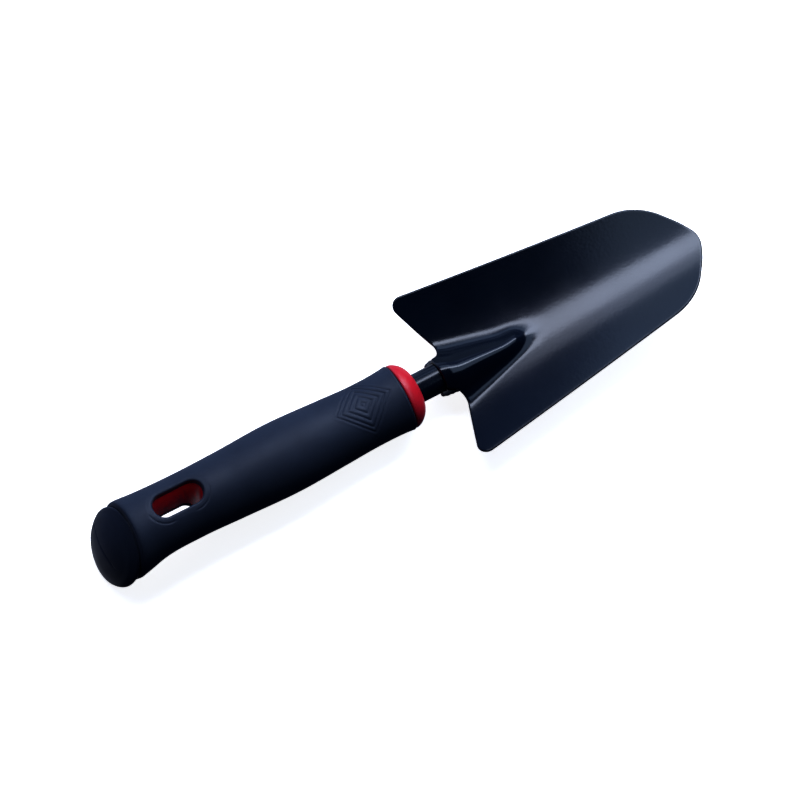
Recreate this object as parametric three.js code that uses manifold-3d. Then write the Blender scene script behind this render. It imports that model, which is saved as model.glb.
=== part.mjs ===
// Hand trowel: a stamped steel blade welded to a steel tube, which is moulded into a plastic core.
// A rubber grip covers the core, and a cap closes the butt.
// Millimetres. Inside the tool group, +X runs along the handle from the butt to the tip, with Y = Z = 0
// on the tube's axis. The outer group lays the tool down on its butt and its collar end, with +Z up.

import * as THREE from 'three';
import * as BufferGeometryUtils from 'three/addons/utils/BufferGeometryUtils.js';
import Module from 'manifold-3d';

const wasm = await Module();
wasm.setup();

// Driving dimensions
const GAP = 0.3;                  // clearance between pieces that touch
const OVERREACH = 2.0;            // how far a cutting body reaches past what it cuts
const CUT_DEPTH = 60.0;           // height of a body that cuts right through the tool
const CUT_HEIGHT = 20.0;          // reach of a body that clears the space above the sheet
const ROUND_SEGMENTS = 36;        // facets around the handle
const MERGE_DISTANCE = 1e-4;
const NORMAL_STEP = 0.05;         // step over which the blade's slope is measured

const GRIP_START = 8.6;           // rear end of the grip, where the cap begins
const GRIP_END = 138.5;           // front face of the grip
const GRIP_WALL = 3.0;

const COLLAR_END = 146.0;         // front of the red nose
const COLLAR_RADIUS = 14.5;
const NOSE_RADIUS = 7.3;          // where the nose meets the tube
const NOSE_FULLNESS = 1.2;        // 1 is an elliptical nose, more is leaner
const NOSE_STEPS = 8;
const NECK_RADIUS = 10.0;         // joins the collar to the core inside the grip

const CAP_END = 2.2;              // where the cap's side turns into its domed end
const CAP_CROWN = 2.6;            // height of that dome
const DOME_STEPS = 6;
const PIN_ROOT = 3.0;             // how far back inside the cap its pin starts
const SPIGOT_RADIUS = 7.0;
const SPIGOT_END = 21.0;
const SPIGOT_HEIGHT = -0.8;       // its axis, from the tube's axis
const BUTT_LEAN = 0.47;           // the butt's end leans back at its lower edge (run over rise)
const LEAN_FULL = 3.5;            // it leans fully here
const LEAN_GONE = 17.0;           // and not at all here

const SLOT_CENTRE = 35.6;
const SLOT_LENGTH = 22.0;
const SLOT_WIDTH = 10.0;
const SLOT_TOP = 15.0;            // height at which it is SLOT_CENTRE from the butt
const SLOT_RAKE = 0.14;           // it slants towards the butt on its way down (run over rise)
const SLOT_ARC_STEPS = 10;

const TUBE_RADIUS = 6.35;
const TUBE_WALL = 1.2;
const TUBE_START = 52.0;
const TUBE_END = 172.0;
const TUBE_CLEAR_LEAD = 1.0;      // the sheet's clearance starts this far behind its socket
const TUBE_CLEAR_HALF_WIDTH = 12.0;
const TUBE_CLEAR_GRID = [14, 24];

const SHEET = 1.3;                // blade thickness
const SHEET_HALF_WIDTH = 44.0;    // before it is cut to its outline
const SHEET_GRID = [42, 30];      // columns along it and rows across it
const OUTLINE_ARC_STEPS = 8;
const SHOULDER_X = 153.3;         // rear corners of the blade
const SHOULDER_HALF_WIDTH = 40.4;
const SHOULDER_CORNER = 4.0;
const NOSE_X = 267.6;             // where the sides turn in to the point
const NOSE_HALF_WIDTH = 25.2;
const NOSE_CORNER = 29.0;
const CHEEK_X = 280.1;
const CHEEK_HALF_WIDTH = 9.1;
const CHEEK_CORNER = 39.0;
const TIP_X = 284.5;
const TIP_CORNER = 9.5;
const TONGUE_START = 157.0;       // rear end of the socket that is pressed over the tube
const TONGUE_HALF_WIDTH = 8.0;
const TONGUE_CORNER = 1.5;
const REAR_EDGE_X = 165.3;        // where the swept rear edge would meet the socket's side
const REAR_EDGE_FILLET = 5.5;

const DISH_LOW = -5.8;            // height of the dish's centre line at the shoulder
const DISH_RISE = 10.4;           // its straight and curved rise over DISH_RUN
const DISH_CURVE = 6.95;
const DISH_RUN = 150.0;
const DISH_RADIUS = 107.0;        // radius across the blade at the shoulder
const DISH_TIGHTEN = 42.6;        // how much smaller that radius is one DISH_RUN further on

const RIB_BACK = 161.0;           // the rib's ridge is level behind this point
const RIB_TOP = 7.7;
const RIB_FALL = 0.185;           // slope of its ridge in front of that
const RIB_LOW = 1.8;              // least height of the ridge above the dish
const RIB_HALF_WIDTH = 12.6;      // to the foot of its flank, at RIB_BACK
const RIB_TAPER = 0.22;           // loss of that half width per millimetre
const RIB_LEAST_HALF_WIDTH = 3.0;
const RIB_NOSE = 193.0;           // the rib's rounded nose starts here
const RIB_NOSE_LENGTH = 7.5;
const RIB_BACK_ROUND = 0.44;      // roundness of the ridge, behind and at the nose
const RIB_FRONT_ROUND = 0.24;
const RIB_FOOT = 0.9;             // the foot's fillet is this high, plus a share of the rib's height
const RIB_FOOT_SHARE = 1.25;
const RIB_SKEW = 2.2;             // the ridge lies this far to the right of the middle
const RIB_SKEW_SPAN = 1.7;        // and the skew fades out over this many half widths
const RIB_SKEW_BACK = [155.0, 167.0];
const RIB_SKEW_FRONT = [185.0, 200.5];

const BEAD_RADIUS = 2.1;
const BEAD_STEPS = 6;
const BEAD_ARC_STEPS = 6;
const BEAD_CLEAR_HALF_WIDTH = 16.0;
const BEAD_CLEAR_GRID = [16, 28];
const BEAD_START = new THREE.Vector3(153.8, 7.6, 0.2);
const BEAD_MIDDLE = new THREE.Vector3(158.5, 7.9, 0.6);
const BEAD_END = new THREE.Vector3(166.0, 7.6, -0.6);

const REST_PITCH = 0.0373;        // the tool lies on its butt and its collar end

// Handle outline: distance from the butt, radius, and height of the section's centre
const HANDLE_STATIONS = [
  [2.2, 11.7, -4.5],
  [3.4, 14.6, -4.4],
  [5.2, 16.2, -3.9],
  [8.0, 16.8, -2.8],
  [13.0, 16.2, -0.6],
  [21.0, 14.9, 1.4],
  [38.8, 14.2, 1.6],
  [58.2, 14.7, 0.6],
  [83.1, 15.6, 0.2],
  [106.6, 14.6, -0.3],
  [122.0, 13.9, -0.6],
  [134.3, 14.2, -0.4],
  [138.5, 14.6, -0.3],
];
const HANDLE_STEPS = 28;

const handleOutline = new THREE.CatmullRomCurve3(
  HANDLE_STATIONS.map((station) => new THREE.Vector3(...station)),
  false,
  'centripetal',
);
const handlePoints = handleOutline.getPoints(HANDLE_STEPS);

function smoothStep(from, to, value) {
  return THREE.MathUtils.smoothstep(value, from, to);
}

function valueAlongHandle(x, axis) {
  if (x <= handlePoints[0].x) return handlePoints[0][axis];
  const next = handlePoints.findIndex((point) => point.x >= x);
  if (next < 0) return handlePoints[handlePoints.length - 1][axis];
  const before = handlePoints[Math.max(next - 1, 0)];
  const after = handlePoints[next];
  const share = after.x > before.x ? (x - before.x) / (after.x - before.x) : 0;
  return THREE.MathUtils.lerp(before[axis], after[axis], share);
}

function handleRadius(x) {
  return valueAlongHandle(x, 'y');
}

function handleCentre(x) {
  return valueAlongHandle(x, 'z');
}

// Solids

function signedVolume(geometry) {
  const position = geometry.attributes.position;
  const index = geometry.index;
  const corners = [new THREE.Vector3(), new THREE.Vector3(), new THREE.Vector3()];
  let volume = 0;
  for (let i = 0; i < index.count; i += 3) {
    corners.forEach((corner, k) => corner.fromBufferAttribute(position, index.getX(i + k)));
    volume += corners[0].dot(corners[1].clone().cross(corners[2])) / 6;
  }
  return volume;
}

function toSolid(source) {
  const bare = source.clone();
  bare.deleteAttribute('normal');
  bare.deleteAttribute('uv');
  const merged = BufferGeometryUtils.mergeVertices(bare, MERGE_DISTANCE);
  const triangles = [];
  const index = merged.index.array;
  const flip = signedVolume(merged) < 0;
  for (let i = 0; i < index.length; i += 3) {
    const [a, b, c] = [index[i], index[i + 1], index[i + 2]];
    if (a === b || b === c || c === a) continue;
    triangles.push(a, flip ? c : b, flip ? b : c);
  }
  return new wasm.Manifold(new wasm.Mesh({
    numProp: 3,
    vertProperties: new Float32Array(merged.attributes.position.array),
    triVerts: new Uint32Array(triangles),
  }));
}

function toGeometry(solid) {
  const mesh = solid.getMesh();
  const geometry = new THREE.BufferGeometry();
  geometry.setAttribute('position', new THREE.BufferAttribute(new Float32Array(mesh.vertProperties), 3));
  geometry.setIndex(new THREE.BufferAttribute(new Uint32Array(mesh.triVerts), 1));
  geometry.computeVertexNormals();
  return geometry;
}

function reshape(geometry, move) {
  const position = geometry.attributes.position;
  const point = new THREE.Vector3();
  for (let i = 0; i < position.count; i += 1) {
    point.fromBufferAttribute(position, i);
    move(point);
    position.setXYZ(i, point.x, point.y, point.z);
  }
  return geometry;
}

// A solid turned about the X axis from a profile of [x, radius] points that starts and ends on the axis
function turned(profile) {
  const points = profile.map(([x, radius]) => new THREE.Vector2(radius, x));
  return new THREE.LatheGeometry(points, ROUND_SEGMENTS).rotateZ(-Math.PI / 2);
}

function rod(radius, from, to) {
  return turned([[from, 0], [from, radius], [to, radius], [to, 0]]);
}

// The handle's section centre wanders a little, and its rear end leans back
function followHandle(point) {
  const lean = 1 - smoothStep(LEAN_FULL, LEAN_GONE, point.x);
  const centre = handleCentre(point.x);
  point.x += BUTT_LEAN * point.z * lean;
  point.z += centre;
}

function handleSolid(from, to, inset) {
  const stations = handlePoints.map((point) => point.x).filter((x) => x > from && x < to);
  const profile = [from, ...stations, to].map((x) => [x, handleRadius(x) - inset]);
  return toSolid(reshape(turned([[from, 0], ...profile, [to, 0]]), followHandle));
}

// A straight pin along the handle, at the cap's height
function buttPin(radius, from, to) {
  return toSolid(rod(radius, from, to).translate(0, 0, SPIGOT_HEIGHT));
}

// A plan outline extruded evenly up and down
function extruded(shape, curveSegments) {
  const block = new THREE.ExtrudeGeometry(shape, { depth: CUT_DEPTH, bevelEnabled: false, curveSegments });
  return block.translate(0, 0, -CUT_DEPTH / 2);
}

function slotCutter() {
  const reach = (SLOT_LENGTH - SLOT_WIDTH) / 2;
  const half = SLOT_WIDTH / 2;
  const shape = new THREE.Shape();
  shape.moveTo(SLOT_CENTRE - reach, -half);
  shape.lineTo(SLOT_CENTRE + reach, -half);
  shape.absarc(SLOT_CENTRE + reach, 0, half, -Math.PI / 2, Math.PI / 2, false);
  shape.lineTo(SLOT_CENTRE - reach, half);
  shape.absarc(SLOT_CENTRE - reach, 0, half, Math.PI / 2, 1.5 * Math.PI, false);
  const block = extruded(shape, SLOT_ARC_STEPS);
  return toSolid(reshape(block, (point) => { point.x += SLOT_RAKE * (point.z - SLOT_TOP); }));
}

// Blade surface: a dish with a raised rib that wraps the tube and runs out in the dish

function dishHeight(x, y) {
  const run = (x - SHOULDER_X) / DISH_RUN;
  const radius = DISH_RADIUS - DISH_TIGHTEN * run;
  const centre = DISH_LOW + DISH_RISE * run + DISH_CURVE * run * run;
  return centre + radius - Math.sqrt(radius * radius - y * y);
}

// Height of the rib's flank over the dish, negative outside its foot
function ribRise(x, y) {
  const past = Math.max(x - RIB_BACK, 0);
  const ridge = RIB_TOP - RIB_FALL * past;
  const height = Math.max(ridge - dishHeight(x, 0), RIB_LOW);
  const halfWidth = Math.max(RIB_HALF_WIDTH - RIB_TAPER * (x - RIB_BACK), RIB_LEAST_HALF_WIDTH);
  const skew = RIB_SKEW * smoothStep(...RIB_SKEW_BACK, x) * (1 - smoothStep(...RIB_SKEW_FRONT, x));
  const aside = THREE.MathUtils.clamp(y / (RIB_SKEW_SPAN * halfWidth), -1, 1);
  const nose = Math.max(x - RIB_NOSE, 0) / RIB_NOSE_LENGTH;
  const out = Math.hypot((y + skew * (1 - aside ** 2) ** 2) / halfWidth, nose);
  const share = smoothStep(RIB_BACK, RIB_NOSE, x);
  const round = THREE.MathUtils.lerp(RIB_BACK_ROUND, RIB_FRONT_ROUND, share);
  const foot = Math.hypot(1, round);
  return height * (foot - Math.hypot(out, round)) / (foot - round);
}

// The dish runs up into the rib's flank through a fillet that starts gently and ends tightly
function bladeHeight(x, y) {
  const rise = ribRise(x, y);
  const fillet = RIB_FOOT + RIB_FOOT_SHARE * Math.max(ribRise(Math.min(x, RIB_NOSE), 0), 0);
  const blend = THREE.MathUtils.clamp(rise / fillet + 2 / 3, 0, 1);
  return dishHeight(x, y) + (fillet / 3) * blend ** 3 + Math.max(rise - fillet / 3, 0);
}

function bladeNormal(x, y) {
  const step = NORMAL_STEP;
  const slopeX = (bladeHeight(x + step, y) - bladeHeight(x - step, y)) / (2 * step);
  const slopeY = (bladeHeight(x, y + step) - bladeHeight(x, y - step)) / (2 * step);
  return new THREE.Vector3(-slopeX, -slopeY, 1).normalize();
}

// A slab that follows the blade surface, from one offset to another along its normal.
// Its rows are closer together near the rib.
function followingSlab(xFrom, xTo, halfWidth, [columns, rows], offsetLow, offsetHigh) {
  const slab = new THREE.BoxGeometry(1, 2, 1, columns, rows, 1);
  return toSolid(reshape(slab, (point) => {
    const x = THREE.MathUtils.lerp(xFrom, xTo, point.x + 0.5);
    const y = halfWidth * (0.5 * point.y + 0.5 * point.y ** 3);
    const offset = point.z > 0 ? offsetHigh : offsetLow;
    point.set(x, y, bladeHeight(x, y)).addScaledVector(bladeNormal(x, y), offset);
  }));
}

// An outline whose corners, given as [x, y, radius], are rounded by arcs
function roundedShape(corners) {
  const shape = new THREE.Shape();
  const count = corners.length;
  corners.forEach(([x, y, radius], i) => {
    const corner = new THREE.Vector2(x, y);
    const toBefore = new THREE.Vector2(...corners[(i + count - 1) % count]).sub(corner).normalize();
    const toAfter = new THREE.Vector2(...corners[(i + 1) % count]).sub(corner).normalize();
    const half = Math.acos(THREE.MathUtils.clamp(toBefore.dot(toAfter), -1, 1)) / 2;
    const reach = radius / Math.tan(half);
    const start = corner.clone().addScaledVector(toBefore, reach);
    const middle = corner.clone().addScaledVector(
      toBefore.clone().add(toAfter).normalize(),
      radius / Math.sin(half),
    );
    const end = corner.clone().addScaledVector(toAfter, reach);
    const clockwise = toBefore.cross(toAfter) > 0;
    if (i === 0) shape.moveTo(start.x, start.y);
    else shape.lineTo(start.x, start.y);
    const startAngle = start.clone().sub(middle).angle();
    const endAngle = end.clone().sub(middle).angle();
    shape.absarc(middle.x, middle.y, radius, startAngle, endAngle, clockwise);
  });
  shape.closePath();
  return shape;
}

function bladeOutline() {
  const half = [
    [TONGUE_START, TONGUE_HALF_WIDTH, TONGUE_CORNER],
    [REAR_EDGE_X, TONGUE_HALF_WIDTH, REAR_EDGE_FILLET],
    [SHOULDER_X, SHOULDER_HALF_WIDTH, SHOULDER_CORNER],
    [NOSE_X, NOSE_HALF_WIDTH, NOSE_CORNER],
    [CHEEK_X, CHEEK_HALF_WIDTH, CHEEK_CORNER],
  ];
  const otherHalf = half.map(([x, y, radius]) => [x, -y, radius]).reverse();
  return roundedShape([...half, [TIP_X, 0, TIP_CORNER], ...otherHalf]);
}

// Sub-parts

function makeBlade() {
  const [from, to] = [SHOULDER_X - OVERREACH, TIP_X + OVERREACH];
  const sheet = followingSlab(from, to, SHEET_HALF_WIDTH, SHEET_GRID, -SHEET / 2, SHEET / 2);
  return sheet.intersect(toSolid(extruded(bladeOutline(), OUTLINE_ARC_STEPS)));
}

// What the sheet and its clearance take up over the tube, from a distance along the tool
function spaceAboveSheet(from, halfWidth, grid) {
  return followingSlab(from, TUBE_END + OVERREACH, halfWidth, grid, -SHEET / 2 - GAP, CUT_HEIGHT);
}

function makeShankTube() {
  const bore = TUBE_RADIUS - TUBE_WALL;
  const tube = toSolid(rod(TUBE_RADIUS, TUBE_START, TUBE_END));
  const hollow = toSolid(rod(bore, TUBE_START - OVERREACH, TUBE_END + OVERREACH));
  const from = TONGUE_START - TUBE_CLEAR_LEAD;
  return tube.subtract(hollow).subtract(spaceAboveSheet(from, TUBE_CLEAR_HALF_WIDTH, TUBE_CLEAR_GRID));
}

function makeWeldBead(side) {
  const path = new THREE.CatmullRomCurve3([BEAD_START, BEAD_MIDDLE, BEAD_END].map(
    (point) => point.clone().multiply(new THREE.Vector3(1, side, 1)),
  ));
  const section = new THREE.Shape().absarc(0, 0, BEAD_RADIUS, 0, 2 * Math.PI, false);
  const sweep = { extrudePath: path, steps: BEAD_STEPS, curveSegments: BEAD_ARC_STEPS };
  const bead = toSolid(new THREE.ExtrudeGeometry(section, sweep));
  const tubeSpace = toSolid(rod(TUBE_RADIUS + GAP, TUBE_START, TUBE_END + OVERREACH));
  const from = BEAD_START.x - OVERREACH;
  return bead.subtract(tubeSpace).subtract(spaceAboveSheet(from, BEAD_CLEAR_HALF_WIDTH, BEAD_CLEAR_GRID));
}

function makeHandleCore() {
  const body = handleSolid(GRIP_START + GAP, GRIP_END - GAP, GRIP_WALL + GAP);
  const noseLength = COLLAR_END - GRIP_END - GAP;
  const nose = [];
  for (let i = 0; i <= NOSE_STEPS; i += 1) {
    const angle = (Math.PI / 2) * (i / NOSE_STEPS);
    const across = Math.max(Math.cos(angle), 0) ** NOSE_FULLNESS;
    const along = Math.sin(angle) ** NOSE_FULLNESS;
    nose.push([GRIP_END + GAP + noseLength * along, NOSE_RADIUS + (COLLAR_RADIUS - NOSE_RADIUS) * across]);
  }
  const collar = toSolid(reshape(
    turned([[GRIP_END + GAP, 0], ...nose, [COLLAR_END, 0]]),
    (point) => { point.z += handleCentre(GRIP_END) * (1 - smoothStep(GRIP_END, COLLAR_END, point.x)); },
  ));
  const neck = toSolid(rod(NECK_RADIUS, GRIP_END - OVERREACH, GRIP_END + OVERREACH));
  const tubeBore = toSolid(rod(TUBE_RADIUS + GAP, TUBE_START - GAP, COLLAR_END + OVERREACH));
  const spigotBore = buttPin(SPIGOT_RADIUS + GAP, CAP_END, SPIGOT_END + GAP);
  return body.add(neck).add(collar).subtract(tubeBore).subtract(spigotBore).subtract(slotCutter());
}

function makeGrip() {
  const outer = handleSolid(GRIP_START + GAP, GRIP_END, 0);
  const inner = handleSolid(GRIP_START - OVERREACH, GRIP_END + OVERREACH, GRIP_WALL);
  return outer.subtract(inner).subtract(slotCutter());
}

function makeButtCap() {
  const side = handlePoints.filter((point) => point.x > CAP_END && point.x < GRIP_START);
  const profile = side.map((point) => [point.x, point.y]);
  const endRadius = handleRadius(CAP_END);
  const dome = [];
  for (let i = 1; i <= DOME_STEPS; i += 1) {
    const share = i / DOME_STEPS;
    dome.push([CAP_END - CAP_CROWN * (1 - share * share), endRadius * share]);
  }
  const rim = [[GRIP_START, handleRadius(GRIP_START)], [GRIP_START, 0]];
  const outline = [[CAP_END - CAP_CROWN, 0], ...dome, ...profile, ...rim];
  const knob = toSolid(reshape(turned(outline), followHandle));
  const pin = buttPin(SPIGOT_RADIUS, GRIP_START - PIN_ROOT, SPIGOT_END);
  return knob.add(pin);
}

// Materials

function material(color, roughness, metalness) {
  return new THREE.MeshStandardMaterial({ color, roughness, metalness });
}

const bladePaint = material(0x20262f, 0.38, 0.25);
const tubePaint = material(0x252b35, 0.4, 0.25);
const weldPaint = material(0x2b2e34, 0.55, 0.3);
const corePlastic = material(0xc8303a, 0.3, 0.0);
const gripRubber = material(0x1d222b, 0.75, 0.0);
const capPlastic = material(0x14181f, 0.45, 0.0);

function named(name, solid, finish) {
  const mesh = new THREE.Mesh(toGeometry(solid), finish);
  mesh.name = name;
  return mesh;
}

// Assembly

const tool = new THREE.Group();
tool.add(named('blade', makeBlade(), bladePaint));
tool.add(named('shank_tube', makeShankTube(), tubePaint));
tool.add(named('weld_bead_left', makeWeldBead(1), weldPaint));
tool.add(named('weld_bead_right', makeWeldBead(-1), weldPaint));
tool.add(named('handle_core', makeHandleCore(), corePlastic));
tool.add(named('grip', makeGrip(), gripRubber));
tool.add(named('butt_cap', makeButtCap(), capPlastic));
tool.rotation.y = REST_PITCH;

const trowel = new THREE.Group();
trowel.add(tool);

// The origin is under the middle of the tool, on the surface that it lies on
trowel.updateMatrixWorld(true);
const extent = new THREE.Box3().setFromObject(trowel, true);
tool.position.x -= (extent.min.x + extent.max.x) / 2;
tool.position.z -= extent.min.z;
trowel.updateMatrixWorld(true);

export default trowel;
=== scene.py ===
"""Looks for a hand trowel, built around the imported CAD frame.

Pieces are shaped in the tool's own millimetres: +X from the butt to the tip, Y = Z = 0 on the
tube's axis. to_row() then lays them down in the row frame, in metres, as the CAD does.
"""

import math

import bmesh
import bpy
import numpy as np
from mathutils import Matrix, Vector


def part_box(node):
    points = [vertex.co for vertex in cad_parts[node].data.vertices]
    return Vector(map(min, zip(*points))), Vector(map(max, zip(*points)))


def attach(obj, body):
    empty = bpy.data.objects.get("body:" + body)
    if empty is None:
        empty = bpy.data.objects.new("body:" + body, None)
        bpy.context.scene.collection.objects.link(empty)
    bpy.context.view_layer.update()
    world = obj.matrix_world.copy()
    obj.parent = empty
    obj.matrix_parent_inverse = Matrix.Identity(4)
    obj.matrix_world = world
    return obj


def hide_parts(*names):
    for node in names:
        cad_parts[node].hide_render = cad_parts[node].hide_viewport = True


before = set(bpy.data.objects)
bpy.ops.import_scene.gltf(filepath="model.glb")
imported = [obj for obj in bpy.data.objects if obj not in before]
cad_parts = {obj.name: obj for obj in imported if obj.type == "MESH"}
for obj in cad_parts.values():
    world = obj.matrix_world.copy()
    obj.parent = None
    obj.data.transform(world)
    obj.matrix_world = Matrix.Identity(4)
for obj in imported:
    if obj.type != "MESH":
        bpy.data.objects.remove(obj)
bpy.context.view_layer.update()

MM = 0.001
REST_PITCH = 0.0373

# Handle: distance from the butt, radius, height of the section's centre
HANDLE_STATIONS = np.array([
    (2.2, 11.7, -4.5),
    (3.4, 14.6, -4.4),
    (5.2, 16.2, -3.9),
    (8.0, 16.8, -2.8),
    (13.0, 16.2, -0.6),
    (21.0, 14.9, 1.4),
    (38.8, 14.2, 1.6),
    (58.2, 14.7, 0.6),
    (83.1, 15.6, 0.2),
    (106.6, 14.6, -0.3),
    (122.0, 13.9, -0.6),
    (134.3, 14.2, -0.4),
    (138.5, 14.6, -0.3),
])
CAP_END = 2.2
CAP_CROWN = 2.6
RIM_END = 5.2                     # the cap has finer rows up to here
RIM_STEP = 0.12
SIDE_STEP = 0.3
GRIP_START = 8.6
GRIP_END = 138.5
BUTT_LEAN = 0.47
LEAN_FULL = 3.5
LEAN_GONE = 17.0

# Rows along the grip: from, to, step
GRIP_ROWS = ((9.5, 19.0, 0.4), (19.0, 52.5, 0.35), (52.5, 104.0, 1.0), (104.0, 137.6, 0.3))

# Columns round the grip, in degrees from its top: from, to, how many
GRIP_COLUMNS = ((-90, -62, 11), (-62, 62, 124), (62, 118, 22), (118, 242, 62), (242, 270, 11))
GRIP_CELL = 0.8
GRIP_FRONT_EDGE = 0.8             # radius of the front edge
REAR_WALL = 3.2
REAR_TUCK = 2.5                   # how far the hem runs on inside
FRONT_WALL = 2.2
FRONT_TUCK = 2.0

# Crease between the cap and the grip
CREASE_DEPTH = 1.0
CREASE_WIDTH = 1.7
CREASE_GAP = 0.25                 # each side's distance from the joint
CREASE_EDGE = 0.5                 # radius of each side's edge there

# Shallow hollow behind the cap's rim
HOLLOW_X = 3.9
HOLLOW_DEPTH = 0.45
HOLLOW_WIDTH = 0.9

# Fine line across the cap: a point on it, its slope across the butt, and its size
SEAM_X = 0.65
SEAM_Z = -2.6
SEAM_ANGLE = 0.70
SEAM_DEPTH = 0.65
SEAM_WIDTH = 0.34
SEAM_FADE = (-10.0, -3.0)         # it comes in from right to left between these
SEAM_FRONT = 8.0                  # and stops here
SEAM_PRESS = (0.8, 0.5)           # forwards and upwards, for each millimetre of depth

SLOT_CENTRE = 35.6
SLOT_REACH = 6.0
SLOT_HALF_WIDTH = 5.0
SLOT_TOP = 15.0
SLOT_RAKE = 0.14
LIP_ROUND = 0.9
LIP_DEPTHS = (0.8, 1.8, 2.8)      # rows of the lip's wall below its rounding
BEVEL_WIDTH = 2.7                 # a shallow bevel round the slot, with a line at its edge
BEVEL_DEPTH = 0.22
BEVEL_LINE_DEPTH = 0.3
BEVEL_LINE_WIDTH = 0.28
BEVEL_LINE_SIDE = (0.0, 3.0)      # the line fades in between these, towards the right
BEVEL_LINE_ENDS = (3.0, 7.0)      # and between these, away from the slot's middle
LINING_INSET = 3.2                # the lining stops this far inside the grip's surface
LINING_WALL = 1.4
LINING_RIM = ((0.5, 0.0), (0.15, 0.15), (-0.02, 0.5))     # its rounded edge: outwards, down

COLLAR_END = 146.0
COLLAR_RADIUS = 14.5
COLLAR_GAP = 0.15
COLLAR_EDGE = 0.7                 # radius of its rear edge
COLLAR_INSET = 0.2
NOSE_RADIUS = 7.0
NOSE_FULLNESS = 1.2
CORE_BACK = 132.5                 # rear end of the core's hidden sleeve
CORE_RADIUS = 11.6
BORE_RADIUS = 6.4

TUBE_RADIUS = 6.35
TUBE_WALL = 1.2
TUBE_START = 52.0
TUBE_END = 172.0
TUBE_CLEAR_LEAD = 1.0             # it is cut down to the sheet from this far behind it
TUBE_SLACK = 0.05

SHEET = 1.3
SHEET_CELL = 0.6
OUTLINE_SPACING = 0.5
SHOULDER_X = 153.3
SHOULDER_HALF_WIDTH = 40.4
SHOULDER_CORNER = 4.0
NOSE_X = 267.6
NOSE_HALF_WIDTH = 25.2
NOSE_CORNER = 29.0
CHEEK_X = 280.1
CHEEK_HALF_WIDTH = 9.1
CHEEK_CORNER = 39.0
TIP_X = 284.5
TIP_CORNER = 9.5
TONGUE_START = 157.0
TONGUE_HALF_WIDTH = 8.0
TONGUE_CORNER = 1.5
REAR_EDGE_X = 165.3
REAR_EDGE_FILLET = 5.5

DISH_LOW = -5.8
DISH_RISE = 10.4
DISH_CURVE = 6.95
DISH_RUN = 150.0
DISH_RADIUS = 107.0
DISH_TIGHTEN = 42.6

RIB_BACK = 161.0
RIB_TOP = 7.7
RIB_FALL = 0.185
RIB_LOW = 1.8
RIB_HALF_WIDTH = 12.6
RIB_TAPER = 0.22
RIB_LEAST_HALF_WIDTH = 3.0
RIB_NOSE = 193.0
RIB_NOSE_LENGTH = 7.5
RIB_BACK_ROUND = 0.44
RIB_FRONT_ROUND = 0.24
RIB_FOOT = 0.9
RIB_FOOT_SHARE = 1.25
RIB_SKEW = 2.2
RIB_SKEW_SPAN = 1.7
RIB_SKEW_BACK = (155.0, 167.0)
RIB_SKEW_FRONT = (185.0, 200.5)

DIAMOND_X = 120.7
DIAMOND_HALF_LENGTH = 12.0
DIAMOND_HALF_ARC = 12.6
DIAMOND_RINGS = ((0.09, 0.2), (0.34, 0.26), (0.59, 0.3), (0.84, 0.3), (1.04, 0.2))   # size, depth
DIAMOND_GROOVE = 0.27             # half width of a groove
DIAMOND_BACK = (60.0, 90.0)       # no groove behind the first or in front of the last of these
DIAMOND_FRONT = (137.0, 138.5)
DIAMOND_BANK = (0.95, 0.4, 0.06)  # raised bank beside a groove: distance, half width, height

BEAD_START = (154.2, 6.9, -0.9)
BEAD_END = (166.5, 7.2, -2.8)
BEAD_BOW = (0.0, 0.4, 0.6)        # how far its middle bows out
BEAD_RADIUS = 1.4
BEAD_RIPPLE = 0.09
BEAD_RIPPLE_TURNS = 34.0          # radians of ripple along the bead
BEAD_SLANT = 0.5                  # how far each ring leans along the bead

FLOOR_SIZE = 80.0                 # metres, so that no edge of it shows in a low view
WHITE = (1.0, 1.0, 1.0)
STRIP_TINT = (0.72, 0.8, 1.0)
GLOW_TINT = (0.5, 0.68, 1.0)
SKY = (                           # from the trowel's right (0) to its left (1)
    (0.0, (0.008, 0.012, 0.03)),
    (0.53, (0.008, 0.012, 0.03)),
    (0.66, (0.09, 0.13, 0.28)),
    (0.92, (0.11, 0.17, 0.36)),
    (1.0, (0.45, 0.6, 0.95)),
)
BELOW_TINT = (0.42, 0.45, 0.55, 1.0)

ENAMEL = (0.0008, 0.0022, 0.006)
ENAMEL_WORN = (0.0016, 0.0038, 0.010)
WELD = (0.012, 0.014, 0.020)
WELD_WORN = (0.03, 0.032, 0.038)

# Camera, in the tool's millimetres
CAMERA_PLACE = (-73.1, -337.5, 969.0)
CAMERA_TARGET = (137.9, -1.0, 0.0)
CAMERA_UP = (-21.6, 0.0, 999.8)
CAMERA_LENS = 113.6


# ---------------------------------------------------------------- frame

def row_offset():
    """Where the tool's origin lies in the row frame, from the rear end of the CAD tube."""
    low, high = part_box("shank_tube")
    cos, sin = math.cos(REST_PITCH), math.sin(REST_PITCH)
    x = low.x / MM - (TUBE_START * cos - TUBE_RADIUS * sin)
    z = high.z / MM - (-TUBE_START * sin + TUBE_RADIUS * cos)
    return np.array((x, 0.0, z))


ORIGIN = row_offset()


def to_row(points):
    """Points in the tool's millimetres, as metres in the row frame."""
    points = np.atleast_2d(np.asarray(points, float))
    cos, sin = math.cos(REST_PITCH), math.sin(REST_PITCH)
    x = points[:, 0] * cos + points[:, 2] * sin
    z = -points[:, 0] * sin + points[:, 2] * cos
    return (np.stack((x, points[:, 1], z), axis=1) + ORIGIN) * MM


def smooth_step(low, high, value):
    t = np.clip((value - low) / (high - low), 0.0, 1.0)
    return t * t * (3.0 - 2.0 * t)


# ---------------------------------------------------------------- mesh building

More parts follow.
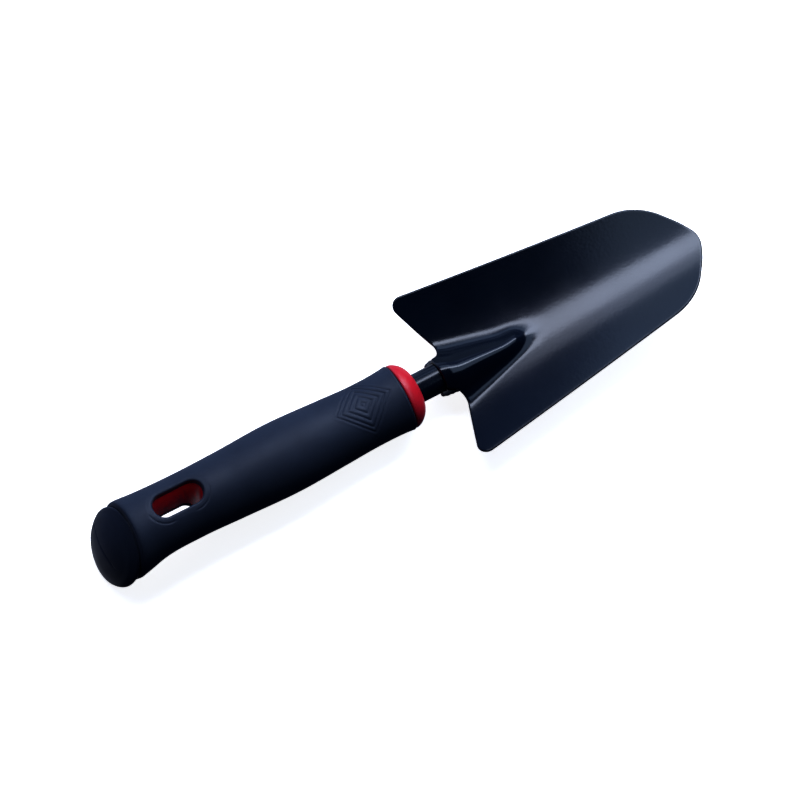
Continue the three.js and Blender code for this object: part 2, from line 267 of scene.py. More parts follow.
TINY = 1e-12
FAR = 100.0
SLOPE_STEP = 0.05                 # share of a grid step over which a slope is measured
SNAP_SHARE = 0.35                 # grid points this near the border, in cells, move on to it
WELD_REACH = 0.00001              # metres within which vertices join
LEAST_EDGE = 0.000001             # metres


class Shell:
    """Vertices in the tool's millimetres and faces between them."""

    def __init__(self):
        self.points = []
        self.faces = []

    def add(self, points):
        start = len(self.points)
        self.points.extend(np.asarray(points, float).reshape(-1, 3))
        return list(range(start, len(self.points)))

    def loft(self, ring, after, closed=True):
        """Quads between two rows of vertices of the same length."""
        count = len(ring)
        for k in range(count if closed else count - 1):
            n = (k + 1) % count
            self.faces.append((ring[k], ring[n], after[n], after[k]))

    def loft_all(self, rings, closed=True):
        rows = [self.add(ring) for ring in rings]
        for ring, after in zip(rows, rows[1:]):
            self.loft(ring, after, closed)
        return rows

    def fan(self, ring, centre):
        middle = self.add([centre])[0]
        for k, vertex in enumerate(ring):
            self.faces.append((vertex, ring[(k + 1) % len(ring)], middle))

    def to_object(self, name, node, material):
        mesh = bpy.data.meshes.new(name)
        mesh.from_pydata([tuple(p) for p in to_row(self.points)], [], self.faces)
        piece = bpy.data.objects.new(name, mesh)
        bpy.context.scene.collection.objects.link(piece)
        tidy_mesh(mesh)
        mesh.materials.append(material)
        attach(piece, "root")
        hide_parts(node)
        return piece


def tidy_mesh(mesh):
    """Joins seams, turns every face outwards and shades it smooth."""
    work = bmesh.new()
    work.from_mesh(mesh)
    bmesh.ops.remove_doubles(work, verts=work.verts, dist=WELD_REACH)
    bmesh.ops.dissolve_degenerate(work, edges=work.edges, dist=LEAST_EDGE)
    bmesh.ops.recalc_face_normals(work, faces=work.faces)
    for face in work.faces:
        face.smooth = True
    work.to_mesh(mesh)
    work.free()


def clipped_grid(across, along, distance, cell):
    """The part of a grid where distance(a, b) <= 0, with a clean border on distance = 0.

    Returns the kept (a, b) points, the faces, and the border loops as lists of point numbers.
    """
    a, b = np.meshgrid(across, along, indexing="ij")
    values = distance(a, b)
    step_a = np.median(np.diff(across)) * SLOPE_STEP
    step_b = np.median(np.diff(along)) * SLOPE_STEP
    near = np.abs(values) < SNAP_SHARE * cell
    for _ in range(3):
        slope_a = (distance(a + step_a, b) - distance(a - step_a, b)) / (2 * step_a)
        slope_b = (distance(a, b + step_b) - distance(a, b - step_b)) / (2 * step_b)
        scale = (step_a / step_b) ** 2
        size = slope_a ** 2 * scale + slope_b ** 2 + TINY
        a = np.where(near, a - values * slope_a * scale / size, a)
        b = np.where(near, b - values * slope_b / size, b)
        values = np.where(near, distance(a, b), values)
    values = np.where(near, 0.0, values)

    rows, columns = values.shape
    points = []
    numbers = {}

    def corner(i, j):
        key = (i, j)
        if key not in numbers:
            numbers[key] = len(points)
            points.append((a[i, j], b[i, j]))
        return numbers[key]

    def crossing(first, second):
        key = (first, second) if first < second else (second, first)
        if key not in numbers:
            (i, j), (k, m) = key
            low, high = 0.0, 1.0
            at_low, at_high = values[i, j], values[k, m]
            share = at_low / (at_low - at_high)
            for _ in range(3):
                at = distance(
                    np.array([[a[i, j] + share * (a[k, m] - a[i, j])]]),
                    np.array([[b[i, j] + share * (b[k, m] - b[i, j])]]),
                )[0, 0]
                if (at > 0) == (at_low > 0):
                    low, at_low = share, at
                else:
                    high, at_high = share, at
                if at_low == at_high:
                    break
                share = low + (high - low) * at_low / (at_low - at_high)
            numbers[key] = len(points)
            at_a = a[i, j] + share * (a[k, m] - a[i, j])
            at_b = b[i, j] + share * (b[k, m] - b[i, j])
            points.append((at_a, at_b))
        return numbers[key]

    faces = []
    border = set()
    # Each cell keeps the part of itself that lies inside
    for i in range(rows - 1):
        for j in range(columns - 1):
            cell_corners = [(i, j), (i + 1, j), (i + 1, j + 1), (i, j + 1)]
            inside = [values[c] for c in cell_corners]
            if min(inside) >= 0:
                continue
            face = []
            for k, here in enumerate(cell_corners):
                there = cell_corners[(k + 1) % 4]
                if values[here] <= 0:
                    face.append(corner(*here))
                    if values[here] == 0:
                        border.add(face[-1])
                if values[here] * values[there] < 0:
                    face.append(crossing(here, there))
                    border.add(face[-1])
            if len(face) > 2:
                faces.append(tuple(face))
    return np.array(points), faces, border_loops(faces, border)


def border_loops(faces, border):
    """Chains of the edges that only one face uses and whose two ends lie on the border."""
    used = {}
    for face in faces:
        for k, first in enumerate(face):
            second = face[(k + 1) % len(face)]
            used[(first, second)] = used.get((first, second), 0) + 1
    follow = {}
    for (first, second) in used:
        if (second, first) not in used and first in border and second in border:
            follow[first] = second
    loops = []
    while follow:
        start = next(iter(follow))
        loop = [start]
        after = follow.pop(start)
        while after != start and after in follow:
            loop.append(after)
            after = follow.pop(after)
        loops.append(loop)
    return loops


def turned_rings(profile, segments, move=None):
    """Rings about the X axis, one for each (x, radius) of the profile."""
    angle = np.linspace(0.0, 2 * math.pi, segments, endpoint=False)
    rings = []
    for x, radius in profile:
        ring = np.stack((np.full(segments, x), radius * np.sin(angle), radius * np.cos(angle)), axis=1)
        rings.append(move(ring) if move else ring)
    return rings


# ---------------------------------------------------------------- handle shape

def spline(x, column):
    """A smooth curve through one column of the handle's stations."""
    knots = HANDLE_STATIONS[:, 0]
    values = HANDLE_STATIONS[:, column]
    slopes = np.gradient(values, knots)
    x = np.clip(x, knots[0], knots[-1])
    k = np.clip(np.searchsorted(knots, x, side="right") - 1, 0, len(knots) - 2)
    width = knots[k + 1] - knots[k]
    t = (x - knots[k]) / width
    return (
        (2 * t ** 3 - 3 * t ** 2 + 1) * values[k]
        + (t ** 3 - 2 * t ** 2 + t) * width * slopes[k]
        + (3 * t ** 2 - 2 * t ** 3) * values[k + 1]
        + (t ** 3 - t ** 2) * width * slopes[k + 1]
    )


def follow_handle(points):
    """Leans the butt back and lets the section's centre wander, as the CAD does."""
    points = np.array(points, float)
    lean = 1.0 - smooth_step(LEAN_FULL, LEAN_GONE, points[:, 0])
    centre = spline(points[:, 0], 2)
    points[:, 0] += BUTT_LEAN * points[:, 2] * lean
    points[:, 2] += centre
    return points


def crease_depth(x):
    """How far the crease between cap and grip is drawn in."""
    return CREASE_DEPTH * np.exp(-((x - GRIP_START) / CREASE_WIDTH) ** 2)


def hollow_depth(x):
    """A shallow hollow that sets the cap's rim off from its domed end."""
    return HOLLOW_DEPTH * np.exp(-((x - HOLLOW_X) / HOLLOW_WIDTH) ** 2)


def seam_groove(points):
    """Presses a fine line across the cap, strongest on its left."""
    away = (points[:, 0] - SEAM_X) * math.sin(SEAM_ANGLE) + (points[:, 2] - SEAM_Z) * math.cos(SEAM_ANGLE)
    depth = SEAM_DEPTH * np.exp(-(away / SEAM_WIDTH) ** 2) * smooth_step(*SEAM_FADE, points[:, 1])
    rear = points[:, 0] < SEAM_FRONT
    points[:, 0] += np.where(rear, depth * SEAM_PRESS[0], 0.0)
    points[:, 2] += np.where(rear, depth * SEAM_PRESS[1], 0.0)
    return points


def slot_centre(z):
    """The slot slants towards the butt on its way down."""
    return SLOT_CENTRE + SLOT_RAKE * (z - SLOT_TOP)


def slot_distance(x, y, z):
    """Distance outside the hang slot's outline at a height, negative inside it."""
    past = np.maximum(np.abs(x - slot_centre(z)) - SLOT_REACH, 0.0)
    return np.hypot(past, y) - SLOT_HALF_WIDTH


def diamond_depth(x, arc):
    """Depth of the nested diamond grooves of the thumb pad."""
    size = np.abs(x - DIAMOND_X) / DIAMOND_HALF_LENGTH + np.abs(arc) / DIAMOND_HALF_ARC
    across = DIAMOND_HALF_LENGTH / math.sqrt(2.0)
    bank_place, bank_width, bank_height = DIAMOND_BANK
    depth = np.zeros_like(size)
    for ring, strength in DIAMOND_RINGS:
        away = np.abs(size - ring) * across
        depth += strength * np.exp(-(away / DIAMOND_GROOVE) ** 2)
        depth -= bank_height * np.exp(-((away - bank_place) / bank_width) ** 2)
    return depth


# ---------------------------------------------------------------- blade shape

def dish_height(x, y):
    run = (x - SHOULDER_X) / DISH_RUN
    radius = DISH_RADIUS - DISH_TIGHTEN * run
    centre = DISH_LOW + DISH_RISE * run + DISH_CURVE * run * run
    return centre + radius - np.sqrt(radius * radius - y * y)


def rib_rise(x, y):
    """Height of the rib's flank over the dish, negative outside its foot."""
    past = np.maximum(x - RIB_BACK, 0.0)
    height = np.maximum(RIB_TOP - RIB_FALL * past - dish_height(x, 0.0), RIB_LOW)
    half_width = np.maximum(RIB_HALF_WIDTH - RIB_TAPER * (x - RIB_BACK), RIB_LEAST_HALF_WIDTH)
    skew = RIB_SKEW * smooth_step(*RIB_SKEW_BACK, x) * (1.0 - smooth_step(*RIB_SKEW_FRONT, x))
    aside = np.clip(y / (RIB_SKEW_SPAN * half_width), -1.0, 1.0)
    nose = np.maximum(x - RIB_NOSE, 0.0) / RIB_NOSE_LENGTH
    out = np.hypot((y + skew * (1.0 - aside ** 2) ** 2) / half_width, nose)
    share = smooth_step(RIB_BACK, RIB_NOSE, x)
    rounding = RIB_BACK_ROUND + (RIB_FRONT_ROUND - RIB_BACK_ROUND) * share
    foot = np.hypot(1.0, rounding)
    return height * (foot - np.hypot(out, rounding)) / (foot - rounding)


def blade_height(x, y):
    """The dish runs up into the rib's flank through a fillet that starts gently."""
    rise = rib_rise(x, y)
    fillet = RIB_FOOT + RIB_FOOT_SHARE * np.maximum(rib_rise(np.minimum(x, RIB_NOSE), 0.0), 0.0)
    blend = np.clip(rise / fillet + 2.0 / 3.0, 0.0, 1.0)
    return dish_height(x, y) + fillet / 3.0 * blend ** 3 + np.maximum(rise - fillet / 3.0, 0.0)


def blade_normal(x, y):
    step = 0.05
    slope_x = (blade_height(x + step, y) - blade_height(x - step, y)) / (2 * step)
    slope_y = (blade_height(x, y + step) - blade_height(x, y - step)) / (2 * step)
    normal = np.stack((-slope_x, -slope_y, np.ones_like(slope_x)), axis=-1)
    return normal / np.linalg.norm(normal, axis=-1, keepdims=True)


def blade_corners():
    """The blade's plan outline as (x, y, corner radius)."""
    half = [
        (TONGUE_START, TONGUE_HALF_WIDTH, TONGUE_CORNER),
        (REAR_EDGE_X, TONGUE_HALF_WIDTH, REAR_EDGE_FILLET),
        (SHOULDER_X, SHOULDER_HALF_WIDTH, SHOULDER_CORNER),
        (NOSE_X, NOSE_HALF_WIDTH, NOSE_CORNER),
        (CHEEK_X, CHEEK_HALF_WIDTH, CHEEK_CORNER),
    ]
    other = [(x, -y, radius) for x, y, radius in reversed(half)]
    return half + [(TIP_X, 0.0, TIP_CORNER)] + other


def rounded_outline(corners, spacing):
    """A closed line through the corners, with each corner turned into an arc."""
    line = []
    count = len(corners)
    for k, (x, y, radius) in enumerate(corners):
        here = np.array((x, y))
        to_before = np.array(corners[k - 1][:2]) - here
        to_after = np.array(corners[(k + 1) % count][:2]) - here
        to_before /= np.linalg.norm(to_before)
        to_after /= np.linalg.norm(to_after)
        half = math.acos(float(np.clip(to_before @ to_after, -1, 1))) / 2
        inward = (to_before + to_after) / np.linalg.norm(to_before + to_after)
        middle = here + inward * radius / math.sin(half)
        start = here + to_before * radius / math.tan(half) - middle
        end = here + to_after * radius / math.tan(half) - middle
        from_angle = math.atan2(start[1], start[0])
        turn = math.atan2(end[1], end[0]) - from_angle
        turn = (turn + math.pi) % (2 * math.pi) - math.pi
        steps = max(3, int(abs(turn) * radius / spacing))
        for angle in from_angle + turn * np.linspace(0, 1, steps + 1):
            line.append(middle + radius * np.array((math.cos(angle), math.sin(angle))))
    return np.array(line)


OUTLINE = rounded_outline(blade_corners(), OUTLINE_SPACING)


def outline_distance(x, y):
    """Distance outside the blade's plan outline, negative inside it."""
    shape = x.shape
    point = np.stack((x.ravel(), y.ravel()), axis=1)
    nearest = np.full(len(point), 1e9)
    inside = np.zeros(len(point), bool)
    for first, second in zip(OUTLINE, np.roll(OUTLINE, -1, axis=0)):
        edge = second - first
        t = np.clip((point - first) @ edge / max(edge @ edge, TINY), 0.0, 1.0)
        gap = point - first - t[:, None] * edge
        nearest = np.minimum(nearest, (gap ** 2).sum(axis=1))
        crosses = (first[1] > point[:, 1]) != (second[1] > point[:, 1])
        if edge[1] != 0:
            at = first[0] + (point[:, 1] - first[1]) / edge[1] * edge[0]
            inside ^= crosses & (point[:, 0] < at)
    return (np.sqrt(nearest) * np.where(inside, -1.0, 1.0)).reshape(shape)


# ---------------------------------------------------------------- materials

def node_material(name):
    material = bpy.data.materials.new(name)
    material.use_nodes = True
    tree = material.node_tree
    shader = tree.nodes["Principled BSDF"]
    coords = tree.nodes.new("ShaderNodeTexCoord")
    return material, tree, shader, coords.outputs["Object"]


def noise(tree, vector, scale, detail=4.0, roughness=0.55, stretch=None):
    if stretch:
        mapping = tree.nodes.new("ShaderNodeMapping")
        mapping.inputs["Scale"].default_value = stretch
        tree.links.new(vector, mapping.inputs["Vector"])
        vector = mapping.outputs["Vector"]
    texture = tree.nodes.new("ShaderNodeTexNoise")
    texture.inputs["Scale"].default_value = scale
    texture.inputs["Detail"].default_value = detail
    texture.inputs["Roughness"].default_value = roughness
    tree.links.new(vector, texture.inputs["Vector"])
    return texture.outputs["Fac"]


def ramp(tree, value, *stops):
    """Maps a value through stops of (place, colour)."""
    node = tree.nodes.new("ShaderNodeValToRGB")
    elements = node.color_ramp.elements
    while len(elements) < len(stops):
        elements.new(0.5)
    for element, (place, colour) in zip(elements, stops):
        element.position = place
        element.color = (*colour, 1.0) if len(colour) == 3 else colour
    tree.links.new(value, node.inputs["Fac"])
    return node.outputs["Color"]


def spread(tree, value, low, high, start=0.3, end=0.7):
    node = tree.nodes.new("ShaderNodeMapRange")
    node.inputs["From Min"].default_value = start
    node.inputs["From Max"].default_value = end
    node.inputs["To Min"].default_value = low
    node.inputs["To Max"].default_value = high
    tree.links.new(value, node.inputs["Value"])
    return node.outputs["Result"]


def bump(tree, shader, height, strength, distance):
    node = tree.nodes.new("ShaderNodeBump")
    node.inputs["Strength"].default_value = strength
    node.inputs["Distance"].default_value = distance
    tree.links.new(height, node.inputs["Height"])
    tree.links.new(node.outputs["Normal"], shader.inputs["Normal"])


def paint_material(name, base, worn, rough_low, rough_high):
    """Glossy black enamel: a slight orange peel and soft blotches."""
    material, tree, shader, at = node_material(name)
    blotch = noise(tree, at, 35.0, 3.0)
    tree.links.new(ramp(tree, blotch, (0.3, base), (0.75, worn)), shader.inputs["Base Color"])
    rough = noise(tree, at, 60.0, 5.0)
    tree.links.new(spread(tree, rough, rough_low, rough_high), shader.inputs["Roughness"])
    bump(tree, shader, noise(tree, at, 900.0, 2.0), 0.05, 0.0004)
    shader.inputs["Specular IOR Level"].default_value = 0.5
    return material


def rubber_material():
    """Matte dark rubber with faint smudges."""
    material, tree, shader, at = node_material("grip_rubber")
    smudge = noise(tree, at, 45.0, 5.0, 0.6)
    colour = ramp(tree, smudge, (0.35, (0.011, 0.017, 0.033)), (0.7, (0.017, 0.025, 0.045)))
    tree.links.new(colour, shader.inputs["Base Color"])
    rough = noise(tree, at, 70.0, 4.0)
    tree.links.new(spread(tree, rough, 0.54, 0.64), shader.inputs["Roughness"])
    bump(tree, shader, noise(tree, at, 2200.0, 3.0), 0.12, 0.0003)
    shader.inputs["Specular IOR Level"].default_value = 0.45
    return material


def red_material():
    """Glossy red plastic with a slight unevenness."""
    material, tree, shader, at = node_material("core_plastic")
    tint = noise(tree, at, 60.0, 3.0)
    colour = ramp(tree, tint, (0.3, (0.46, 0.010, 0.022)), (0.7, (0.54, 0.014, 0.028)))
    tree.links.new(colour, shader.inputs["Base Color"])
    tree.links.new(spread(tree, noise(tree, at, 150.0), 0.3, 0.42), shader.inputs["Roughness"])
    bump(tree, shader, noise(tree, at, 700.0, 2.0), 0.05, 0.0003)
    return material


def cap_material():
    """Dull black plastic, a little smoother than the grip."""
    material, tree, shader, at = node_material("cap_plastic")
    tint = noise(tree, at, 80.0, 4.0)
    colour = ramp(tree, tint, (0.3, (0.006, 0.010, 0.022)), (0.7, (0.010, 0.015, 0.030)))
    tree.links.new(colour, shader.inputs["Base Color"])
    tree.links.new(spread(tree, noise(tree, at, 120.0), 0.44, 0.56), shader.inputs["Roughness"])
    bump(tree, shader, noise(tree, at, 1800.0, 2.0), 0.08, 0.0003)
    return material


# ---------------------------------------------------------------- pieces

def make_blade(material):
    """Pressed sheet with a rounded edge all round."""
    half = SHEET / 2
    xs = np.arange(SHOULDER_X - 2 * SHEET_CELL, TIP_X + 2 * SHEET_CELL, SHEET_CELL)
    side = SHOULDER_HALF_WIDTH + 1.5 * SHEET_CELL
    ys = np.arange(-side, side + 0.1, SHEET_CELL)
    plan, faces, loops = clipped_grid(xs, ys, lambda a, b: outline_distance(a, b) + half, SHEET_CELL)
    x, y = plan[:, 0], plan[:, 1]
    middle = np.stack((x, y, blade_height(x, y)), axis=1)
    normal = blade_normal(x, y)
    shell = Shell()
    top = shell.add(middle + normal * half)
    bottom = shell.add(middle - normal * half)
    for face in faces:
        shell.faces.append(tuple(top[v] for v in face))
        shell.faces.append(tuple(bottom[v] for v in reversed(face)))
    for loop in loops:
        centre = middle[loop]
        up = normal[loop]
        along = np.roll(centre, -1, axis=0) - np.roll(centre, 1, axis=0)
        outward = np.cross(along, up)
        outward /= np.linalg.norm(outward, axis=1, keepdims=True)
        rows = [[top[v] for v in loop]]
        for angle in np.linspace(math.pi / 2, -math.pi / 2, 9)[1:-1]:
            rows.append(shell.add(centre + half * (math.sin(angle) * up + math.cos(angle) * outward)))
        rows.append([bottom[v] for v in loop])
        for ring, after in zip(rows, rows[1:]):
            shell.loft(ring, after)
    return shell.to_object("blade_sheet", "blade", material)


def make_tube(material):
    """Steel tube whose front end is tucked under the rib."""
    def tuck(ring):
        under = blade_height(ring[:, 0], ring[:, 1])
        under -= (SHEET / 2 + TUBE_SLACK) / blade_normal(ring[:, 0], ring[:, 1])[:, 2]
        limit = np.where(ring[:, 0] > TONGUE_START - TUBE_CLEAR_LEAD, under, FAR)
        ring[:, 2] = np.minimum(ring[:, 2], limit)
        return ring

    inner = TUBE_RADIUS - TUBE_WALL
    stations = np.linspace(TUBE_START, TUBE_END, 121)
    profile = [(x, TUBE_RADIUS) for x in stations] + [(x, inner) for x in stations[::-1]]
    shell = Shell()
    rows = shell.loft_all(turned_rings(profile, 96, tuck))
    shell.loft(rows[-1], rows[0])
    return shell.to_object("shank", "shank_tube", material)


def make_bead(side, material):
    """A rippled weld bead that lies between the tube and the rib's flank."""
    start = np.array(BEAD_START)
    end = np.array(BEAD_END)
    rings = []
    segments = 20
    for t in np.linspace(0, 1, 46):
        centre = start + (end - start) * t + np.array(BEAD_BOW) * math.sin(math.pi * t)
        taper = math.sqrt(max(1 - (2 * t - 1) ** 6, 0.0))
        radius = (BEAD_RADIUS + BEAD_RIPPLE * math.sin(t * BEAD_RIPPLE_TURNS)) * taper + 0.02
        angle = np.linspace(0, 2 * math.pi, segments, endpoint=False)
        ring = np.stack((
            np.full(segments, centre[0]) + BEAD_SLANT * np.cos(angle) * taper,
            centre[1] + radius * np.sin(angle),
            centre[2] + radius * np.cos(angle),
        ), axis=1)
        ring[:, 1] *= side
        rings.append(ring)
    shell = Shell()
    rows = shell.loft_all(rings)
    shell.fan(rows[0], np.mean(rings[0], axis=0))
    shell.fan(rows[-1], np.mean(rings[-1], axis=0))
    name = "left" if side > 0 else "right"
    return shell.to_object("weld_" + name, "weld_bead_" + name, material)


def grip_profile():
    """(x, radius) from inside the rear hem, along the outer surface, to the inside of the front."""
    rear = GRIP_START + CREASE_GAP
    rear_radius = float(spline(rear, 1))
    hem_radius = rear_radius - REAR_WALL
    hem = [(rear + REAR_TUCK, hem_radius - 0.4), (rear, hem_radius)]
    rear_arc = [
        (rear + CREASE_EDGE * (1 - math.cos(t)), rear_radius - CREASE_EDGE * (1 - math.sin(t)))
        for t in np.linspace(0.0, math.pi / 2, 5)
    ]
    xs = np.concatenate([np.arange(*span) for span in GRIP_ROWS])
    outer = [(x, float(spline(x, 1))) for x in xs]
    end_radius = float(spline(GRIP_END, 1))
    front_arc = [
        (GRIP_END - GRIP_FRONT_EDGE * (1 - math.sin(t)), end_radius - GRIP_FRONT_EDGE * (1 - math.cos(t)))
        for t in np.linspace(0.1, math.pi / 2, 6)
    ]
    inner_radius = end_radius - FRONT_WALL
    inside = [(GRIP_END, inner_radius), (GRIP_END - FRONT_TUCK, inner_radius - 0.2)]
    return hem + rear_arc + outer + front_arc + inside


def make_grip(material):
    """Rubber sleeve with the hang slot, half of the crease before the cap, and the diamond pad."""
    profile = np.array(grip_profile())
    index = np.arange(len(profile), dtype=float)
    columns = [np.linspace(*span, endpoint=False) for span in GRIP_COLUMNS]
    last = [GRIP_COLUMNS[-1][1]]
    angles = np.radians(np.concatenate(columns + [last]))

    def surface(s, angle):
        x = np.interp(s, index, profile[:, 0])
        radius = np.interp(s, index, profile[:, 1])
        return x, radius

    def distance(s, angle):
        x, radius = surface(s, angle)
        level = radius * np.cos(angle) + spline(x, 2)
        return LIP_ROUND - slot_distance(x, radius * np.sin(angle), level)

    points, faces, loops = clipped_grid(index, angles, distance, GRIP_CELL)
    x, radius = surface(points[:, 0], points[:, 1])
    angle = points[:, 1]
    pad = smooth_step(*DIAMOND_BACK, x) * (1 - smooth_step(*DIAMOND_FRONT, x))
    arc = radius * np.where(np.abs(angle) < math.pi / 2, angle, FAR)
    radius = radius - diamond_depth(x, arc) * pad - crease_depth(x)
    plain = np.stack((x, radius * np.sin(angle), radius * np.cos(angle)), axis=1)
    above = np.cos(angle) > 0
    edge = slot_distance(plain[:, 0], plain[:, 1], plain[:, 2] + spline(x, 2))
    dip = BEVEL_DEPTH * np.clip((BEVEL_WIDTH - edge) / (BEVEL_WIDTH - LIP_ROUND), 0.0, 1.0)
    line = np.exp(-((edge - BEVEL_WIDTH) / BEVEL_LINE_WIDTH) ** 2)
    line *= smooth_step(*BEVEL_LINE_SIDE, -plain[:, 1])
    line *= smooth_step(*BEVEL_LINE_ENDS, np.abs(x - SLOT_CENTRE))
    dip += BEVEL_LINE_DEPTH * line
    plain[:, 2] -= np.where(above, dip, -dip)
    shaped = follow_handle(plain)
    shell = Shell()
    numbers = shell.add(shaped)
    shell.faces.extend(tuple(numbers[v] for v in face) for face in faces)
    for loop in loops:
        ring = shaped[loop]
        is_top = bool(np.cos(angle[loop]).mean() > 0)
        down = -1.0 if is_top else 1.0
        inward = slot_inward(ring)
        rows = [[numbers[v] for v in loop]]
        for turn in np.linspace(0, math.pi / 2, 7)[1:]:
            moved = ring + inward * LIP_ROUND * math.sin(turn)
            moved[:, 2] += down * LIP_ROUND * (1 - math.cos(turn))
            rows.append(shell.add(moved))
        for depth in LIP_DEPTHS:
            moved = ring + inward * LIP_ROUND
            moved[:, 2] += down * (LIP_ROUND + depth)
            moved[:, 0] += SLOT_RAKE * down * (LIP_ROUND + depth)
            rows.append(shell.add(moved))
        for before, after in zip(rows, rows[1:]):
            shell.loft(before, after)
    return shell.to_object("grip_sleeve", "grip", material)


def slot_inward(ring):
    """Unit directions in plan from the slot's edge towards its middle line."""
    centre = slot_centre(ring[:, 2])
    middle = np.clip(ring[:, 0], centre - SLOT_REACH, centre + SLOT_REACH)
    inward = np.stack((middle - ring[:, 0], -ring[:, 1], np.zeros(len(ring))), axis=1)
    return inward / np.linalg.norm(inward, axis=1, keepdims=True)


def slot_ring(half_width, count=96):
    """An obround round the slot's middle, starting at its front end."""
    arc = np.linspace(-math.pi / 2, math.pi / 2, count // 2)
    past = SLOT_REACH + half_width * np.cos(arc)
    aside = half_width * np.sin(arc)
    front = np.stack((SLOT_CENTRE + past, aside), axis=1)
    rear = np.stack((SLOT_CENTRE - past, -aside), axis=1)
    return np.concatenate((front, rear))


def collar_profile():
    """(x, radius) round the collar's section: hidden sleeve, rear edge, nose and bore."""
    rear = GRIP_END + COLLAR_GAP
    edge_radius = COLLAR_RADIUS - COLLAR_INSET - COLLAR_EDGE
    profile = [(CORE_BACK, 9.5), (CORE_BACK, CORE_RADIUS), (rear, CORE_RADIUS), (rear, edge_radius)]
    for t in np.linspace(0, math.pi / 2, 6):
        profile.append((rear + COLLAR_EDGE * (1 - math.cos(t)), edge_radius + COLLAR_EDGE * math.sin(t)))
    front = rear + COLLAR_EDGE
    length = COLLAR_END - front
    width = COLLAR_RADIUS - COLLAR_INSET - NOSE_RADIUS
    for t in np.linspace(0, math.pi / 2, 26)[1:]:
        along = math.sin(t) ** NOSE_FULLNESS
        across = max(math.cos(t), 0.0) ** NOSE_FULLNESS
        profile.append((front + length * along, NOSE_RADIUS + width * across))
    bore = [(COLLAR_END, BORE_RADIUS), (COLLAR_END - 3.0, BORE_RADIUS), (CORE_BACK, TUBE_RADIUS)]
    return profile + bore


def settle_collar(ring):
    """Brings the collar's rear end in line with the grip's front."""
    fade = 1 - smooth_step(GRIP_END, COLLAR_END - 1.0, ring[:, 0])
    ring[:, 2] += float(spline(GRIP_END, 2)) * fade
    return ring


def lining_level(ring):
    """Height of the lining's rim over the section's centre, along a ring."""
    half = np.sqrt(np.maximum(spline(SLOT_CENTRE, 1) ** 2 - ring[:, 1] ** 2, 0))
    return half - LINING_INSET


def lining_rings():
    """Rings of the slot's lining, from its outer edge at the top to its outer edge at the bottom."""
    outer = slot_ring(SLOT_HALF_WIDTH + LINING_WALL)
    rim = lining_level(slot_ring(SLOT_HALF_WIDTH + LINING_RIM[-1][0]))
    middle = spline(SLOT_CENTRE, 2)
    rings = []
    for side in (1.0, -1.0):
        group = [np.column_stack((outer, side * lining_level(outer) + middle))]
        for outwards, down in LINING_RIM:
            level = side * (rim - down) + middle
            group.append(np.column_stack((slot_ring(SLOT_HALF_WIDTH + outwards), level)))
        for ring in group:
            ring[:, 0] += SLOT_RAKE * (ring[:, 2] - SLOT_TOP)
        rings.extend(group if side > 0 else group[::-1])
    return rings


def make_core(material):
    """Red core: the collar in front of the grip, its sleeve inside it, and the slot's lining."""
    shell = Shell()
    rows = shell.loft_all(turned_rings(collar_profile(), 128, settle_collar))
    shell.loft(rows[-1], rows[0])
    rows = shell.loft_all(lining_rings())
    shell.loft(rows[-1], rows[0])
    return shell.to_object("red_core", "handle_core", material)


def make_cap(material):
    """The butt's rounded end, with a shallow hollow behind its rim and a fine line across it."""
    end_radius = float(spline(CAP_END, 1))
    profile = [
        (CAP_END - CAP_CROWN * (1 - share ** 2), end_radius * share)
        for share in np.linspace(0.02, 1.0, 64)[:-1]
    ]
    front = GRIP_START - CREASE_GAP
    fine = np.arange(CAP_END, RIM_END, RIM_STEP)
    coarse = np.arange(RIM_END, front - CREASE_EDGE, SIDE_STEP)
    xs = np.concatenate((fine, coarse))
    profile += [(x, float(spline(x, 1) - crease_depth(x) - hollow_depth(x))) for x in xs]
    front_radius = float(spline(front, 1) - crease_depth(front))
    for t in np.linspace(0.0, math.pi / 2, 5):
        along = CREASE_EDGE * (1 - math.sin(t))
        inward = CREASE_EDGE * (1 - math.cos(t))
        profile.append((front - along, front_radius - inward))
    profile += [(front, front_radius - 3.0), (front, 5.0)]
    shell = Shell()
    rings = turned_rings(profile, 240, lambda ring: seam_groove(follow_handle(ring)))
    rows = shell.loft_all(rings)
    shell.fan(rows[0], np.mean(rings[0], axis=0))
    shell.fan(rows[-1], np.mean(rings[-1], axis=0))
    return shell.to_object("butt_knob", "butt_cap", material)


# ---------------------------------------------------------------- scene

def make_floor():
    """A white floor that is seen but doesn't light the trowel from below."""
    bpy.ops.mesh.primitive_plane_add(size=FLOOR_SIZE, location=(0.0, 0.0, 0.0))
    floor = bpy.context.object
    floor.name = "floor"
    material, _, shader, _ = node_material("floor")
    shader.inputs["Base Color"].default_value = (0.9, 0.9, 0.9, 1.0)
    shader.inputs["Roughness"].default_value = 0.9
    shader.inputs["Emission Color"].default_value = (1.0, 1.0, 1.0, 1.0)
    shader.inputs["Emission Strength"].default_value = 0.85
    floor.data.materials.append(material)
    floor.visible_diffuse = False
    floor.visible_glossy = False


def add_light(name, direction, distance, power, colour, size):
    """A soft rectangular light that faces the trowel; its first size runs along the trowel."""
    data = bpy.data.lights.new(name, "AREA")
    data.shape = "RECTANGLE"
    data.size, data.size_y = size
    data.energy = power
    data.color = colour
    light = bpy.data.objects.new(name, data)
    towards = Vector(direction).normalized()
    light.location = towards * distance
    along = (Vector((1.0, 0.0, 0.0)) - towards * towards.x).normalized()
    light.rotation_euler = Matrix((along, towards.cross(along), towards)).transposed().to_euler()
    bpy.context.scene.collection.objects.link(light)
    return light


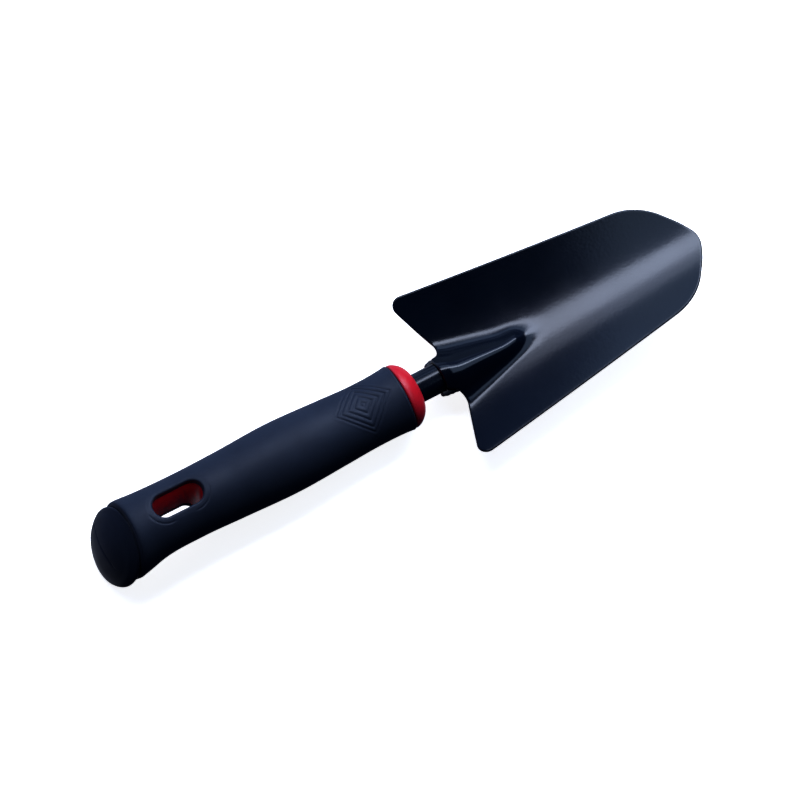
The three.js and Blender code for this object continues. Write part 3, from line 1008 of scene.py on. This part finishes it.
def make_lights():
    """A key light, two long strips over the handle's line, and a glow above the tip."""
    key = add_light("key", (0.65, 0.6, 0.47), distance=1.7, power=30.0, colour=WHITE, size=(1.1, 1.1))
    key.visible_glossy = False
    add_light("strip", (0.32, 0.32, 0.9), distance=1.6, power=18.5, colour=STRIP_TINT, size=(2.0, 0.34))
    add_light("strip_edge", (0.3, 0.47, 0.83), distance=1.6, power=3.0, colour=STRIP_TINT, size=(1.6, 0.22))
    glow = add_light(
        "tip_glow", (0.0, 0.0, 1.0), distance=0.32, power=1.1, colour=GLOW_TINT, size=(0.26, 0.8)
    )
    glow.location.x = 0.26
    glow.location.y = 0.14
    glow.visible_camera = False


def make_world():
    """A dark room with a dim blue wall on the trowel's left, and a pale glow low on that side."""
    world = bpy.data.worlds.new("studio")
    world.use_nodes = True
    tree = world.node_tree
    coords = tree.nodes.new("ShaderNodeTexCoord")
    split = tree.nodes.new("ShaderNodeSeparateXYZ")
    tree.links.new(coords.outputs["Generated"], split.inputs["Vector"])
    place = spread(tree, split.outputs["Y"], 0.0, 1.0, -1.0, 1.0)
    sky = ramp(tree, place, *SKY)
    below = tree.nodes.new("ShaderNodeMath")
    below.operation = "MULTIPLY"
    tree.links.new(spread(tree, split.outputs["Z"], 0.0, 1.0, -0.3, -0.75), below.inputs[0])
    tree.links.new(spread(tree, split.outputs["Y"], 0.0, 1.0, -0.1, 0.25), below.inputs[1])
    mix = tree.nodes.new("ShaderNodeMix")
    mix.data_type = "RGBA"
    tree.links.new(below.outputs["Value"], mix.inputs["Factor"])
    tree.links.new(sky, mix.inputs["A"])
    mix.inputs["B"].default_value = BELOW_TINT
    tree.links.new(mix.outputs["Result"], tree.nodes["Background"].inputs["Color"])
    tree.nodes["Background"].inputs["Strength"].default_value = 1.0
    bpy.context.scene.world = world


def make_camera():
    """Looks at the collar's front from above and to the right of the butt."""
    over = [at + up for at, up in zip(CAMERA_PLACE, CAMERA_UP)]
    place, target, above = (Vector(point) for point in to_row([CAMERA_PLACE, CAMERA_TARGET, over]))
    forward = (target - place).normalized()
    right = forward.cross(above - place).normalized()
    data = bpy.data.cameras.new("camera")
    data.lens = CAMERA_LENS
    data.sensor_width = 36.0
    camera = bpy.data.objects.new("camera", data)
    camera.location = place
    camera.rotation_euler = Matrix((right, right.cross(forward), -forward)).transposed().to_euler()
    bpy.context.scene.collection.objects.link(camera)
    bpy.context.scene.camera = camera


make_camera()
make_floor()
make_lights()
make_world()

blade_paint = paint_material("blade_paint", ENAMEL, ENAMEL_WORN, 0.14, 0.18)
shank_paint = paint_material("shank_paint", ENAMEL, ENAMEL_WORN, 0.16, 0.21)
weld_paint = paint_material("weld_paint", WELD, WELD_WORN, 0.4, 0.55)

make_blade(blade_paint)
make_tube(shank_paint)
make_bead(1.0, weld_paint)
make_bead(-1.0, weld_paint)
make_core(red_material())
make_grip(rubber_material())
make_cap(cap_material())

bpy.context.scene.view_settings.view_transform = "Standard"
bpy.context.scene.view_settings.gamma = 0.8
